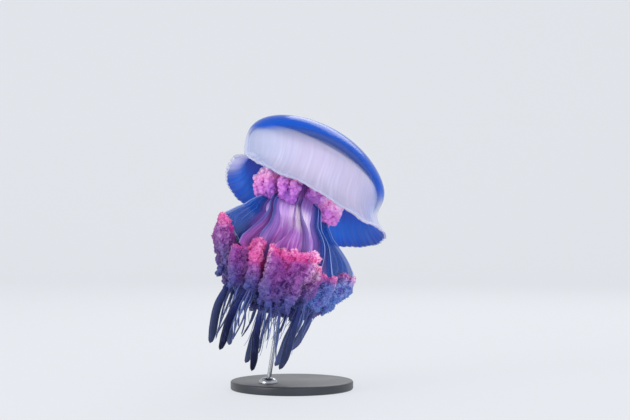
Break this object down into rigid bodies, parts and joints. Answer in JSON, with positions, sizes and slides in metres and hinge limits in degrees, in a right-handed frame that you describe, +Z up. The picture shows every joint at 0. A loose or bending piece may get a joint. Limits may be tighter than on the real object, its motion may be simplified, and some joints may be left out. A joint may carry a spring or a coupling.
{
  "type": "flame jellyfish model",
  "caption": "Life-size still model of a large flame jellyfish swimming: clear domed bell, pink frilled arms and long dark filaments, on a round base with one slim rod.",
  "frame": {"origin": "centre of the display base's underside", "axes": "+Z up; the bell leans 20 degrees towards +X and, seen from the front, -Y, its top leans 18 degrees away"},
  "size_m": [0.2556, 0.2508, 0.3796],
  "materials": {
    "bell_jelly": "wet, clear blue jelly",
    "bell_lining": "soft satin, milky white with lavender",
    "oral_flesh": "soft satin, pale mauve, finely streaked",
    "arm_jelly": "wet, clear blue jelly with pale edges",
    "frill": "matte, finely frilled, pink to mauve",
    "filament": "wet, dark navy with paler edges",
    "stand_steel": "satin",
    "stand_base": "satin dark enamel on steel"
  },
  "bodies": {
    "root": {"umbrella": "bell_jelly", "bell_margin": "bell_jelly", "subumbrella": "bell_lining", "manubrium": "oral_flesh", "scapulets_a": "frill", "arm_a_fins": "arm_jelly", "arm_a_frills": "frill", "club_a_upper": "filament", "club_a_lower": "filament", "scapulets_b": "frill", "arm_b_fins": "arm_jelly", "arm_b_frills": "frill", "club_b_upper": "filament", "club_b_lower": "filament", "scapulets_c": "frill", "arm_c_fins": "arm_jelly", "arm_c_frills": "frill", "club_c_upper": "filament", "club_c_lower": "filament", "scapulets_d": "frill", "arm_d_fins": "arm_jelly", "arm_d_frills": "frill", "club_d_upper": "filament", "club_d_lower": "filament", "scapulets_e": "frill", "arm_e_fins": "arm_jelly", "arm_e_frills": "frill", "club_e_upper": "filament", "club_e_lower": "filament", "scapulets_f": "frill", "arm_f_fins": "arm_jelly", "arm_f_frills": "frill", "club_f_upper": "filament", "club_f_lower": "filament", "scapulets_g": "frill", "arm_g_fins": "arm_jelly", "arm_g_frills": "frill", "club_g_upper": "filament", "club_g_lower": "filament", "scapulets_h": "frill", "arm_h_fins": "arm_jelly", "arm_h_frills": "frill", "club_h_upper": "filament", "club_h_lower": "filament", "stand_base": "stand_base", "stand_boss": "stand_steel", "stand_rod": "stand_steel"}
  },
  "joints": []
}
